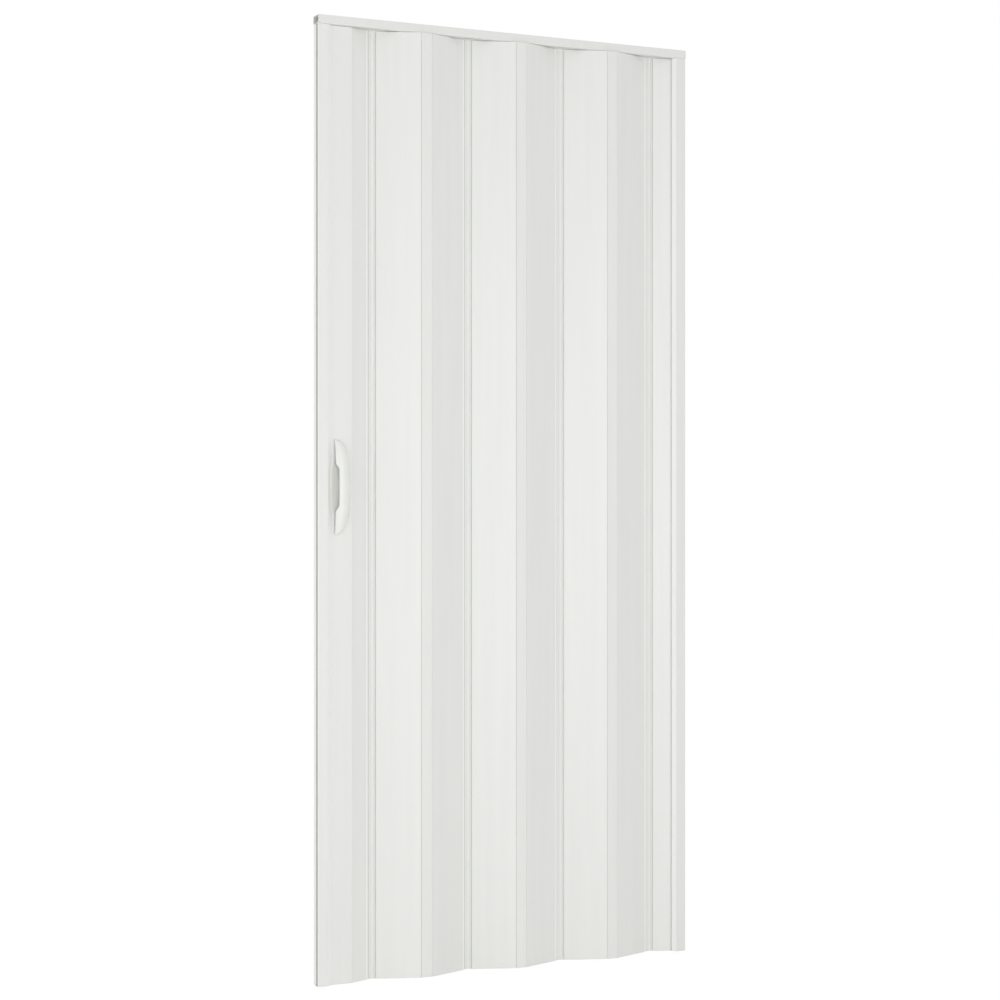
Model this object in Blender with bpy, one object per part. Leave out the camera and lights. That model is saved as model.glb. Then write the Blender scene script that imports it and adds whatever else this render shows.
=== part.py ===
"""White accordion folding door: hollow slats joined by knuckle profiles, hung in a slotted head rail.

Metres, +Z up. The origin is the middle of the rail's top face, where the door hangs. The front is -Y
and the door closes towards -X. Every pivot is an empty on a vertical joint axis, and each carries the
next one along the chain.
"""

import math

import bmesh
import bpy
from mathutils import Matrix

# The whole door
DOOR_WIDTH = 0.885
DOOR_HEIGHT = 2.020
FRAME_DEPTH = 0.026
RUNNING_GAP = 0.0003
PROFILE_WALL = 0.0016
ARC_STEP = math.radians(24)
SHARP_EDGE = math.radians(35)
CUT_OVERRUN = 0.004

# The folding module
SLAT_SPACING = 0.0986
JOINT_SPACING = 0.020
WALL_HINGE_SETBACK = 0.0229
LEAD_HINGE_SETBACK = 0.0755
FLATTEST_FOLD = math.radians(15)
FULL_FOLD = math.radians(87.5)

# Slats
SLAT_THICKNESS = 0.008
SLAT_SKIN = 0.0009
SLAT_CHAMBERS = 7
HALF_SLAT_CHAMBERS = 3
SLAT_HEADROOM = 0.0006
HOOD_SETBACK = 0.0009
SKIN_START = math.radians(60)

# Knuckles: a bead on each slat edge, in a socket on each joint profile
BEAD_RADIUS = 0.00175
NECK_THICKNESS = 0.0010
SOCKET_WALL = 0.00085
LIP_OUTSIDE = math.radians(4)
LIP_INSIDE = math.radians(107)
WEB_RIB_WIDTH = 0.0012
WEB_RIB_HEIGHT = 0.0005

# Head rail
RAIL_HEIGHT = 0.018
RAIL_DEPTH = 0.030
RAIL_SLOT = 0.007
RAIL_CORNER = 0.0010
RAIL_HOLES = 4
RAIL_HOLE_INSET = 0.060

# Screw holes of rail and jamb
SCREW_HOLE_RADIUS = 0.0022

# Wall jamb
JAMB_FACE_WIDTH = 0.024
JAMB_LIP_REACH = 0.0073
JAMB_LIP_THICKNESS = 0.0018
JAMB_BACK_CLEARANCE = 0.0029
JAMB_HOLES = 4
JAMB_HOLE_INSET = 0.150

# Lead post and magnet strip
POST_WIDTH = 0.022
POST_CORNER = 0.0012
POST_GRIP = 0.0115
POST_NOSE_REACH = 0.0095
POST_NOSE = 0.0006
POST_HEADROOM = 0.0004
MAGNET_WIDTH = 0.010
MAGNET_THICKNESS = 0.0022
MAGNET_RECESS = 0.0008
MAGNET_FRONT_INSET = 0.0022

# Handle slat
HANDLE_SLAT_CHAMBERS = 4
HANDLE_LIP_REACH = 0.0040
HANDLE_LIP_FILL_END = math.radians(112)
ARM_THICKNESS = 0.0019

# Handles
HANDLE_LENGTH = 0.200
HANDLE_HEIGHT = 1.038
HANDLE_TIP = 0.0385
HANDLE_RIGHT = 0.0755
BACK_HANDLE_RIGHT = 0.0710
HANDLE_SCOOP_LEFT = 0.0280
HANDLE_SCOOP_LENGTH = 0.150
HANDLE_RISE = 0.018
HANDLE_FULLNESS = 2.2
HANDLE_WALL = 0.0022
HANDLE_FLOOR = 0.0012
HANDLE_TIP_WALL_SHARE = 0.33
HANDLE_TIP_FLOOR_SHARE = 0.22
FLOOR_SPREAD_SHARE = 0.1
WELL_LENGTH = 0.110
WELL_WIDTH = 0.028
WELL_MIDDLE = 0.045
WELL_CLEARANCE = 0.0006
FINGER_CUT_LENGTH = 0.090
FINGER_CUT_EASE = 0.012
OPEN_EDGE = math.radians(124)
CLOSED_EDGE = math.radians(154)
HANDLE_TIP_TURN = math.radians(80)
HANDLE_TURN_STEP = math.radians(8)
ARCH_STEPS = 9
FLOOR_STEPS = 6
LENS_POINTS = 48

# Handle screws
SCREW_RADIUS = 0.00175
SCREW_HEAD_RADIUS = 0.0034
SCREW_HEAD_HEIGHT = 0.0020
SCREW_POINT = 0.0010
SCREW_SPACING = 0.128
SCREW_SIDE = 0.0510
BOSS_RADIUS = 0.0036
BOSS_REACH = 0.0085

# Gliders
GLIDER_STEM_RADIUS = 0.0027
GLIDER_HEAD_RADIUS = 0.0088
GLIDER_HEAD_HEIGHT = 0.0080
GLIDER_CROWN = 0.0022
GLIDER_PLUG_DEPTH = 0.022
GLIDER_POINTS = 16
HOLE_POINTS = 16

SOCKET_RADIUS = BEAD_RADIUS + RUNNING_GAP
SOCKET_OUTSIDE = SOCKET_RADIUS + SOCKET_WALL
HOOD_RADIUS = SOCKET_OUTSIDE + RUNNING_GAP
HALF_SLAT = SLAT_THICKNESS / 2
HALF_DEPTH = FRAME_DEPTH / 2
HALF_WIDTH = DOOR_WIDTH / 2
RAIL_BOTTOM = -RAIL_HEIGHT
SLAT_TOP = RAIL_BOTTOM - SLAT_HEADROOM
POST_TOP = RAIL_BOTTOM - POST_HEADROOM
DOOR_BOTTOM = -DOOR_HEIGHT
HANDLE_MIDDLE = DOOR_BOTTOM + HANDLE_HEIGHT

WHITE = (0.84, 0.84, 0.82)
JOINT_WHITE = (0.80, 0.80, 0.78)
RAIL_WHITE = (0.80, 0.80, 0.79)
HANDLE_WHITE = (0.83, 0.83, 0.81)
MAGNET_GREY = (0.16, 0.16, 0.15)
GLIDER_GREY = (0.62, 0.62, 0.60)
ZINC = (0.60, 0.61, 0.62)


def clear_scene():
    for obj in list(bpy.data.objects):
        bpy.data.objects.remove(obj, do_unlink=True)


def material(name, colour, roughness, metallic=0.0):
    made = bpy.data.materials.new(name)
    made.use_nodes = True
    shader = made.node_tree.nodes["Principled BSDF"]
    shader.inputs["Base Color"].default_value = (*colour, 1.0)
    shader.inputs["Roughness"].default_value = roughness
    shader.inputs["Metallic"].default_value = metallic
    return made


def add_pivot(name, parent, place, turn):
    pivot = bpy.data.objects.new(name, None)
    bpy.context.scene.collection.objects.link(pivot)
    pivot.parent = parent
    pivot.location = place
    pivot.rotation_euler = (0, 0, turn)
    return pivot


def add_object(name, mesh, parent, look, place=(0, 0, 0)):
    obj = bpy.data.objects.new(name, mesh)
    bpy.context.scene.collection.objects.link(obj)
    obj.parent = parent
    obj.location = place
    look = material(name, *look)
    obj.material_slots[0].link = "OBJECT"
    obj.material_slots[0].material = look
    return obj


def finished_mesh(name, bm, smooth=True):
    bmesh.ops.recalc_face_normals(bm, faces=bm.faces)
    mesh = bpy.data.meshes.new(name)
    bm.to_mesh(mesh)
    bm.free()
    if smooth:
        mesh.shade_smooth()
        mesh.set_sharp_from_angle(angle=SHARP_EDGE)
    mesh.materials.append(None)
    return mesh


def arc(centre, radius, start, end):
    """Points on a round stretch, from the start angle to the end angle, either way round."""
    steps = max(1, math.ceil(abs(end - start) / ARC_STEP - 1e-6))
    angles = [start + (end - start) * i / steps for i in range(steps + 1)]
    return [(centre[0] + radius * math.cos(a), centre[1] + radius * math.sin(a)) for a in angles]


def rounded(points, radius, corners):
    """The outline with the corners at these indexes rounded off."""
    made = []
    for i, (x, y) in enumerate(points):
        if i not in corners:
            made.append((x, y))
            continue
        ends = []
        for px, py in (points[i - 1], points[(i + 1) % len(points)]):
            length = math.hypot(px - x, py - y)
            ends.append((x + (px - x) / length * radius, y + (py - y) / length * radius))
        (ax, ay), (bx, by) = ends
        middle = ((ax + bx) / 4 + x / 2, (ay + by) / 4 + y / 2)
        made += [ends[0], middle, ends[1]]
    return made


def profile_mesh(name, outline, holes, low, high, along_x=False):
    """An extruded profile: the outline and its through holes, filled and pulled from low to high."""
    bm = bmesh.new()

    def place(u, v):
        return (low, u, v) if along_x else (u, v, low)

    edges = []
    for loop in [outline, *holes]:
        verts = [bm.verts.new(place(u, v)) for u, v in loop]
        edges += [bm.edges.new((verts[i - 1], verts[i])) for i in range(len(verts))]
    bmesh.ops.triangle_fill(bm, use_beauty=True, edges=edges)
    pulled = bmesh.ops.extrude_face_region(bm, geom=bm.faces[:], use_keep_orig=True)
    moved = [v for v in pulled["geom"] if isinstance(v, bmesh.types.BMVert)]
    reach = high - low
    bmesh.ops.translate(bm, verts=moved, vec=(reach, 0, 0) if along_x else (0, 0, reach))
    return finished_mesh(name, bm)


def lofted_mesh(name, rings):
    """A closed skin through rings of equally many points, each ring extruded from the one before."""
    bm = bmesh.new()
    verts = [bm.verts.new(p) for p in rings[0]]
    edges = [bm.edges.new((verts[i - 1], verts[i])) for i in range(len(verts))]
    first = edges
    for ring in rings[1:]:
        made = bmesh.ops.extrude_edge_only(bm, edges=edges)["geom"]
        fresh = {v for v in made if isinstance(v, bmesh.types.BMVert)}
        verts = [next(e.other_vert(v) for e in v.link_edges if e.other_vert(v) in fresh) for v in verts]
        for vert, point in zip(verts, ring):
            vert.co = point
        edges = [e for e in made if isinstance(e, bmesh.types.BMEdge) and all(v in fresh for v in e.verts)]
    bmesh.ops.triangle_fill(bm, use_beauty=True, edges=first)
    bmesh.ops.triangle_fill(bm, use_beauty=True, edges=edges)
    return finished_mesh(name, bm)


def cut(obj, cutters, operation="DIFFERENCE", solver="EXACT"):
    for cutter in cutters:
        cutter.hide_render = True
        cutter.display_type = "WIRE"
        boolean = obj.modifiers.new(cutter.name, "BOOLEAN")
        boolean.operation = operation
        boolean.object = cutter
        boolean.solver = solver


def cut_profile(obj, cutters):
    """The exact solver can lose a face on a profile's long thin faces, so this takes the other one."""
    cut(obj, cutters, solver="MANIFOLD")


def plan_fold():
    """How many slat and joint modules cross the opening, and the fold angle at which they just fill it."""
    span = DOOR_WIDTH - WALL_HINGE_SETBACK - LEAD_HINGE_SETBACK
    widest = SLAT_SPACING * math.cos(FLATTEST_FOLD) + JOINT_SPACING
    modules = math.ceil(span / widest)
    modules += 1 - modules % 2
    return modules, math.acos((span / modules - JOINT_SPACING) / SLAT_SPACING)


MODULES, FOLD = plan_fold()


def flipped(points, side):
    return [(x, y * side) for x, y in points]


def slat_edge():
    """One edge of a slat round its pivot at zero, from the hood's tip past the bead to the outer skin."""
    neck_at_hood = math.asin(NECK_THICKNESS / 2 / HOOD_RADIUS)
    neck_at_bead = math.asin(NECK_THICKNESS / 2 / BEAD_RADIUS)
    zero = (0, 0)
    points = [(HOOD_SETBACK, HALF_SLAT)]
    points += arc(zero, HOOD_RADIUS, math.acos(HOOD_SETBACK / HOOD_RADIUS), neck_at_hood)
    points += arc(zero, BEAD_RADIUS, neck_at_bead, math.radians(360) - neck_at_bead)
    points += arc(zero, HOOD_RADIUS, -neck_at_hood, -SKIN_START)
    points.append((HOOD_RADIUS * math.cos(SKIN_START), -HALF_SLAT))
    return points


def chambers(low, high, half_height, count):
    """Equal chambers side by side between low and high, with a skin's thickness between them."""
    width = (high - low - (count - 1) * SLAT_SKIN) / count
    made = []
    for i in range(count):
        left = low + i * (width + SLAT_SKIN)
        right = left + width
        lower = [(left, -half_height), (right, -half_height)]
        upper = [(right, half_height), (left, half_height)]
        made.append(lower + upper)
    return made


def slat_chambers(spacing, count):
    inset = HOOD_RADIUS + SLAT_SKIN
    return chambers(inset, spacing - inset, HALF_SLAT - SLAT_SKIN, count)


def slat_mesh(name, spacing, count, side):
    """A hollow slat between two pivots. Its two edges are the same shape, turned half round."""
    edge = slat_edge()
    outline = edge + [(spacing - x, -y) for x, y in edge]
    holes = slat_chambers(spacing, count)
    return profile_mesh(name, flipped(outline, side), holes, DOOR_BOTTOM, SLAT_TOP)


def joint_socket_wall(outside_end=math.radians(270)):
    """The socket round the pivot at zero of a joint profile, from its inner lip inwards and out again.

    The profile runs towards +X, its web lies at -Y and the slats fold towards +Y."""
    outer_lip = math.radians(180) + LIP_OUTSIDE
    inner_lip = math.radians(180) - LIP_INSIDE
    web_meets = -math.asin((SOCKET_OUTSIDE - PROFILE_WALL) / SOCKET_OUTSIDE)
    zero = (0, 0)
    points = arc(zero, SOCKET_OUTSIDE, web_meets, inner_lip)
    points += arc(zero, SOCKET_RADIUS, inner_lip, outer_lip - math.radians(360))
    points += arc(zero, SOCKET_OUTSIDE, outer_lip, outside_end)
    return points


def joint_mesh(name, side):
    """A joint profile: two sockets on a web that widens to shoulders along the unfolded slats' ends.

    A fine rib runs along the middle of the folding side."""
    slat_end = HOOD_RADIUS * math.cos(SKIN_START) - RUNNING_GAP
    shoulder_turn = math.pi + math.acos(slat_end / SOCKET_OUTSIDE) - FOLD
    shoulder = -(slat_end + SOCKET_OUTSIDE * math.sin(FOLD)) / math.cos(FOLD)
    near = joint_socket_wall(shoulder_turn) + [(shoulder, -SOCKET_OUTSIDE)]
    far = [(JOINT_SPACING - x, y) for x, y in reversed(near)]
    middle = JOINT_SPACING / 2
    top = PROFILE_WALL - SOCKET_OUTSIDE
    half_rib = WEB_RIB_WIDTH / 2
    rib = [(middle + half_rib, top), (middle, top + WEB_RIB_HEIGHT), (middle - half_rib, top)]
    return profile_mesh(name, flipped(near + far + rib, side), [], DOOR_BOTTOM, SLAT_TOP)


def glider_rings(plug_half_width, plug_half_depth, top):
    """A plug for the slat's chamber, the stem through the rail's slot and the head over the rail's lips."""

    def ring(z, half_x, half_y, squareness):
        made = []
        for i in range(GLIDER_POINTS):
            turn = math.tau * (i + 1 / 2) / GLIDER_POINTS
            x, y = math.cos(turn), math.sin(turn)
            reach = (abs(x) ** squareness + abs(y) ** squareness) ** (1 / squareness)
            made.append((half_x * x / reach, half_y * y / reach, z))
        return made

    round_share, square_share = 2, 12
    head_low = RAIL_BOTTOM + PROFILE_WALL + RUNNING_GAP
    head_high = head_low + GLIDER_HEAD_HEIGHT
    plug_low = top - GLIDER_PLUG_DEPTH
    plug_high = top - RUNNING_GAP
    stem = GLIDER_STEM_RADIUS
    head = GLIDER_HEAD_RADIUS
    crown = GLIDER_CROWN
    return [
        ring(plug_low, plug_half_width - crown / 2, plug_half_depth - crown / 2, square_share),
        ring(plug_low + crown, plug_half_width, plug_half_depth, square_share),
        ring(plug_high, plug_half_width, plug_half_depth, square_share),
        ring(plug_high, stem, stem, round_share),
        ring(head_low, stem, stem, round_share),
        ring(head_low, head - crown / 2, head - crown / 2, round_share),
        ring(head_low + crown / 2, head, head, round_share),
        ring(head_low + crown, head, head, round_share),
        ring(head_high - crown, head * 3 / 4, head * 3 / 4, round_share),
        ring(head_high, stem, stem, round_share),
    ]


def rail_outline():
    wall = PROFILE_WALL
    slot = RAIL_SLOT / 2
    outside = RAIL_DEPTH / 2
    inside = outside - wall
    outline = [
        (-outside, RAIL_BOTTOM),
        (-slot, RAIL_BOTTOM),
        (-slot, RAIL_BOTTOM + wall),
        (-inside, RAIL_BOTTOM + wall),
        (-inside, -wall),
        (inside, -wall),
        (inside, RAIL_BOTTOM + wall),
        (slot, RAIL_BOTTOM + wall),
        (slot, RAIL_BOTTOM),
        (outside, RAIL_BOTTOM),
        (outside, 0),
        (-outside, 0),
    ]
    return rounded(outline, RAIL_CORNER, {0, 9, 10, 11})


def cylinder(name, place, turned, radius, reach, parent=None):
    """A cutter or a boss, centred on its place."""
    bm = bmesh.new()
    half_step = Matrix.Rotation(math.pi / HOLE_POINTS, 4, "Z")
    bmesh.ops.create_cone(
        bm,
        cap_ends=True,
        segments=HOLE_POINTS,
        radius1=radius,
        radius2=radius,
        depth=reach,
        matrix=half_step,
    )
    made = bpy.data.objects.new(name, finished_mesh(name, bm, smooth=False))
    bpy.context.scene.collection.objects.link(made)
    made.parent = parent
    made.location = place
    made.rotation_euler = turned
    return made


def add_head_rail():
    mesh = profile_mesh("head_rail", rail_outline(), [], -HALF_WIDTH, HALF_WIDTH, along_x=True)
    rail = add_object("head_rail", mesh, None, (RAIL_WHITE, 0.42))
    first = -HALF_WIDTH + RAIL_HOLE_INSET
    pitch = (DOOR_WIDTH - 2 * RAIL_HOLE_INSET) / (RAIL_HOLES - 1)
    reach = PROFILE_WALL + CUT_OVERRUN
    holes = []
    for i in range(RAIL_HOLES):
        place = (first + i * pitch, 0, 0)
        holes.append(cylinder(f"rail_hole_{i + 1}", place, (0, 0, 0), SCREW_HOLE_RADIUS, reach))
    cut_profile(rail, holes)


def jamb_outline():
    """Seen from above: the base on the room's wall, and three fingers that reach towards the slats."""
    wall = PROFILE_WALL
    hinge = HALF_WIDTH - WALL_HINGE_SETBACK
    base = HALF_WIDTH - wall
    face_end = HALF_WIDTH - JAMB_FACE_WIDTH
    lip_tip = hinge - JAMB_LIP_REACH
    slat_face = (JAMB_LIP_REACH - JAMB_LIP_THICKNESS) * math.tan(FOLD) - HALF_SLAT / math.cos(FOLD)
    lip_y = slat_face - RUNNING_GAP / math.cos(FOLD)
    lean = (face_end - lip_tip) / (lip_y + HALF_DEPTH)
    web_top = wall - SOCKET_OUTSIDE
    socket = [(hinge + x, y) for x, y in joint_socket_wall()]
    return rounded(
        [
            (HALF_WIDTH, -HALF_DEPTH),
            (HALF_WIDTH, HALF_DEPTH),
            (hinge + HALF_SLAT + JAMB_BACK_CLEARANCE, HALF_DEPTH),
            (hinge + HALF_SLAT + JAMB_BACK_CLEARANCE, HALF_DEPTH - wall),
            (base, HALF_DEPTH - wall),
            (base, web_top),
            *socket,
            (base, -SOCKET_OUTSIDE),
            (base, wall - HALF_DEPTH),
            (face_end + JAMB_LIP_THICKNESS - wall * lean, wall - HALF_DEPTH),
            (lip_tip + JAMB_LIP_THICKNESS, lip_y),
            (lip_tip, lip_y),
            (face_end, -HALF_DEPTH),
        ],
        PROFILE_WALL / 2,
        {0, 1, 2, 11 + len(socket)},
    )


def add_wall_jamb():
    mesh = profile_mesh("wall_jamb", jamb_outline(), [], DOOR_BOTTOM, RAIL_BOTTOM - RUNNING_GAP)
    jamb = add_object("wall_jamb", mesh, None, (WHITE, 0.42))
    first = DOOR_BOTTOM + JAMB_HOLE_INSET
    pitch = (DOOR_HEIGHT - RAIL_HEIGHT - 2 * JAMB_HOLE_INSET) / (JAMB_HOLES - 1)
    side = (HALF_DEPTH - SOCKET_OUTSIDE + PROFILE_WALL) / 2
    turned = (0, math.radians(90), 0)
    reach = PROFILE_WALL + CUT_OVERRUN
    holes = []
    for i in range(JAMB_HOLES):
        place = (HALF_WIDTH, side, first + i * pitch)
        holes.append(cylinder(f"jamb_hole_{i + 1}", place, turned, SCREW_HOLE_RADIUS, reach))
    cut_profile(jamb, holes)


def add_slat(name, pivot, spacing, count, side):
    mesh = slat_mesh(name, spacing, count, side)
    add_object(name, mesh, pivot, (WHITE, 0.40))


def glider_mesh(name, chamber, top):
    """A glider whose plug fills this chamber, and the middle of the chamber."""
    (left, low), (right, _), (_, high), _ = chamber
    half_width = (right - left) / 2 - RUNNING_GAP
    half_depth = (high - low) / 2 - RUNNING_GAP
    return lofted_mesh(name, glider_rings(half_width, half_depth, top)), ((left + right) / 2, 0, 0)


def add_lead_stile(pivot):
    """The lead stile's pieces. X runs from its hinge to the closing edge."""
    add_handle_slat(pivot)
    add_lead_post(pivot)
    add_handles(pivot)


def handle_slat_back():
    """How far from the hinge the handle slat's body starts, clear of the folded half slat's hood."""
    return math.hypot(HOOD_SETBACK, HALF_SLAT) + SLAT_SKIN


def handle_slat_chambers():
    low = handle_slat_back() + SLAT_SKIN
    high = handle_slat_end() - SLAT_SKIN
    return chambers(low, high, HALF_SLAT - SLAT_SKIN, HANDLE_SLAT_CHAMBERS)


def handle_slat_end():
    return LEAD_HINGE_SETBACK - POST_WIDTH - POST_NOSE_REACH + POST_GRIP - RUNNING_GAP


def add_handle_slat(pivot):
    back = handle_slat_back()
    end = handle_slat_end()
    corner_x = HOOD_RADIUS * math.cos(SKIN_START)
    half_slat_corner = HALF_SLAT * math.cos(FOLD) - corner_x * math.sin(FOLD)
    lip_under = max(half_slat_corner + RUNNING_GAP, SOCKET_OUTSIDE)
    arm_back = SOCKET_OUTSIDE - PROFILE_WALL
    outer_lip = math.radians(180) - LIP_OUTSIDE
    inner_lip = math.radians(180) + LIP_INSIDE
    arm_meets = math.asin(arm_back / SOCKET_OUTSIDE)
    fill_meets = HANDLE_LIP_FILL_END
    zero = (0, 0)
    outline = [(back, -HALF_SLAT), (end, -HALF_SLAT), (end, HALF_SLAT), (-HANDLE_LIP_REACH, HALF_SLAT)]
    outline.append((-HANDLE_LIP_REACH, lip_under))
    outline.append((SOCKET_OUTSIDE * math.cos(fill_meets), lip_under))
    outline += arc(zero, SOCKET_OUTSIDE, fill_meets, outer_lip)
    outline += arc(zero, SOCKET_RADIUS, outer_lip, inner_lip - math.radians(360))
    outline += arc(zero, SOCKET_OUTSIDE, inner_lip - math.radians(360), arm_meets)
    outline.append((back, arm_back))
    mesh = profile_mesh("handle_slat", outline, handle_slat_chambers(), DOOR_BOTTOM, SLAT_TOP)
    slat = add_object("handle_slat", mesh, pivot, (WHITE, 0.40))
    holes = screw_holes("slat_screw_hole", pivot, -SLAT_THICKNESS, SLAT_THICKNESS)
    cut_profile(slat, [well_cutter(pivot), *holes])


def well_cutter(pivot):
    """A lens through the handle slat that both handles' finger wells sink into."""
    half = WELL_WIDTH / 2 + WELL_CLEARANCE
    half_height = WELL_LENGTH / 2 + WELL_CLEARANCE
    return lens_cutter("well_hole", pivot, WELL_MIDDLE, half, half_height, -SLAT_THICKNESS, SLAT_THICKNESS)


def lens_cutter(name, pivot, middle, half, half_height, low, high):
    """An upright oval prism. Its middle is measured from the closing edge, low and high along Y."""
    rings = []
    for y in (low, high):
        ring = []
        for i in range(LENS_POINTS):
            turn = math.tau * i / LENS_POINTS
            x = LEAD_HINGE_SETBACK - middle + half * math.cos(turn)
            ring.append((x, y, HANDLE_MIDDLE + half_height * math.sin(turn)))
        rings.append(ring)
    cutter = bpy.data.objects.new(name, lofted_mesh(name, rings))
    bpy.context.scene.collection.objects.link(cutter)
    cutter.parent = pivot
    return cutter


def post_outline():
    """The lead post seen from above, and its chamber. X is measured from the closing edge."""
    wall = PROFILE_WALL
    groove_front = HALF_DEPTH - MAGNET_FRONT_INSET
    groove_back = groove_front - MAGNET_WIDTH - 2 * RUNNING_GAP
    groove = MAGNET_RECESS + MAGNET_THICKNESS + RUNNING_GAP
    nose = POST_WIDTH + POST_NOSE_REACH
    slot = HALF_SLAT + RUNNING_GAP
    slot_end = nose - POST_GRIP
    run = nose - POST_WIDTH
    fall = HALF_DEPTH - slot - POST_NOSE
    slope = math.hypot(run, fall)
    inner_x = POST_WIDTH - wall * fall / slope
    inner_y = HALF_DEPTH - wall * run / slope
    front = HALF_DEPTH - wall
    shelf = slot + wall
    at_front = inner_x + (inner_y - front) * run / fall
    at_shelf = inner_x + (inner_y - shelf) * run / fall
    outline = [
        (0, HALF_DEPTH),
        (0, groove_front),
        (groove, groove_front),
        (groove, groove_back),
        (0, groove_back),
        (0, -HALF_DEPTH),
        (POST_WIDTH, -HALF_DEPTH),
        (nose, -slot - POST_NOSE),
        (nose, -slot),
        (slot_end, -slot),
        (slot_end, slot),
        (nose, slot),
        (nose, slot + POST_NOSE),
        (POST_WIDTH, HALF_DEPTH),
    ]
    chamber = [
        (groove + wall, front),
        (groove + wall, -front),
        (at_front, -front),
        (at_shelf, -shelf),
        (slot_end - wall, -shelf),
        (slot_end - wall, shelf),
        (at_shelf, shelf),
        (at_front, front),
    ]
    return rounded(outline, POST_CORNER, {0, 5, 6, 13}), chamber


def from_closing_edge(points):
    return [(LEAD_HINGE_SETBACK - d, y) for d, y in points]


def add_lead_post(pivot):
    outline, chamber = post_outline()
    mesh = profile_mesh(
        "lead_post", from_closing_edge(outline), [from_closing_edge(chamber)], DOOR_BOTTOM, POST_TOP
    )
    post = add_object("lead_post", mesh, pivot, (WHITE, 0.42))
    notches = []
    for name, side in (("front_notch", 1), ("back_notch", -1)):
        low, high = sorted((side * (HALF_SLAT + RUNNING_GAP / 2), side * FRAME_DEPTH))
        half = HANDLE_TIP - HANDLE_SCOOP_LEFT + WELL_CLEARANCE
        half_height = HANDLE_SCOOP_LENGTH / 2 + WELL_CLEARANCE
        notches.append(lens_cutter(name, pivot, HANDLE_TIP, half, half_height, low, high))
    cut_profile(post, notches)
    front = HALF_DEPTH - MAGNET_FRONT_INSET - RUNNING_GAP
    edge = LEAD_HINGE_SETBACK - MAGNET_RECESS
    strip = [(edge, front), (edge - MAGNET_THICKNESS, front)]
    strip += [(edge - MAGNET_THICKNESS, front - MAGNET_WIDTH), (edge, front - MAGNET_WIDTH)]
    mesh = profile_mesh("magnet_strip", strip, [], DOOR_BOTTOM, POST_TOP)
    add_object("magnet_strip", mesh, pivot, (MAGNET_GREY, 0.7))


def eased(value):
    share = min(1, max(0, value))
    return share * share * (3 - 2 * share)


def post_slope(d):
    """How far the post's slope, or the slat past it, stands out at this distance from the closing edge."""
    nose = POST_WIDTH + POST_NOSE_REACH
    low = HALF_SLAT + POST_NOSE
    share = min(1, max(0, (nose - d) / POST_NOSE_REACH))
    return low + (HALF_DEPTH - low) * share


def oval_share(away, length):
    return math.sqrt(max(0, 1 - (away / (length / 2)) ** 2))


def full_oval(turn):
    """Shares across and along an oval a little fuller than an ellipse, at this turn."""
    power = 2 / HANDLE_FULLNESS
    across = math.copysign(abs(math.cos(turn)) ** power, math.cos(turn))
    along = math.copysign(abs(math.sin(turn)) ** power, math.sin(turn))
    return across, along


def arch_line(middle, seat, half, rise, end):
    """The arch from its foot at the right over to the free edge at the turn end."""
    turns = [full_oval(end * i / ARCH_STEPS) for i in range(1, ARCH_STEPS + 1)]
    return [(middle + half * across, seat + rise * along) for across, along in turns]


def floor_line(left, right, well, sunk):
    """The floor from left to right, sunk in the middle, as (from closing edge, below the seat) points."""
    middle = min(WELL_MIDDLE, (left + right) / 2)
    half = max(WELL_WIDTH / 2 * well, (right - left) * FLOOR_SPREAD_SHARE)
    points = [(left, 0)]
    for i in range(FLOOR_STEPS + 1):
        share = i / FLOOR_STEPS
        points.append((middle + half * (2 * share - 1), sunk * math.sqrt(math.sin(math.pi * share)) * well))
    return points + [(right, 0)]


def handle_section(turn, right_edge):
    """A handle's cross-section at this turn from its middle to a tip, as (from closing edge, out) points.

    The floor runs from the scoop's rim to the right edge, and an arch rises there and comes back over the
    fingers to a free edge. Floor and arch are one moulding."""
    narrowing, along = full_oval(turn)
    away = abs(along) * HANDLE_LENGTH / 2
    right = HANDLE_TIP + (right_edge - HANDLE_TIP) * narrowing
    left = HANDLE_TIP - (HANDLE_TIP - HANDLE_SCOOP_LEFT) * oval_share(away, HANDLE_SCOOP_LENGTH)
    seat = HALF_SLAT + RUNNING_GAP
    foot = HANDLE_TIP - RUNNING_GAP
    centre = (foot + right) / 2
    half = (right - foot) / 2
    rise = HANDLE_RISE * narrowing
    opening = 1 - eased((away - (FINGER_CUT_LENGTH - FINGER_CUT_EASE) / 2) / FINGER_CUT_EASE)
    end = CLOSED_EDGE + (OPEN_EDGE - CLOSED_EDGE) * opening
    wall = min(HANDLE_WALL, half * HANDLE_TIP_WALL_SHARE)
    floor = min(HANDLE_FLOOR, rise * HANDLE_TIP_FLOOR_SHARE)
    well = oval_share(away, WELL_LENGTH)
    rim = max(seat + floor, post_slope(left) - RUNNING_GAP)
    under = [(d, seat - sunk) for d, sunk in floor_line(left, right, well, HALF_SLAT)]
    over = [(d, seat + floor - sunk) for d, sunk in floor_line(left, right - wall, well, HALF_SLAT)]
    over[0] = (left, rim)
    outside = arch_line(centre, seat, half, rise, end)
    inside = arch_line(centre, seat, half - wall, rise - wall, end)
    return under + outside + inside[:0:-1] + over[::-1]


def handle_turns():
    """The cross-sections' turns from tip to tip, with one wherever finger cut, well or scoop ends."""
    lengths = [FINGER_CUT_LENGTH + FINGER_CUT_EASE * end for end in (-1, 0, 1)]
    lengths += [WELL_LENGTH, HANDLE_SCOOP_LENGTH]
    power = HANDLE_FULLNESS / 2
    stops = [0, *(math.asin((length / HANDLE_LENGTH) ** power) for length in lengths), HANDLE_TIP_TURN]
    turns = []
    for low, high in zip(stops, stops[1:]):
        steps = math.ceil((high - low) / HANDLE_TURN_STEP)
        turns += [low + (high - low) * i / steps for i in range(1, steps + 1)]
    return [-turn for turn in reversed(turns)] + [0] + turns


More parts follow.
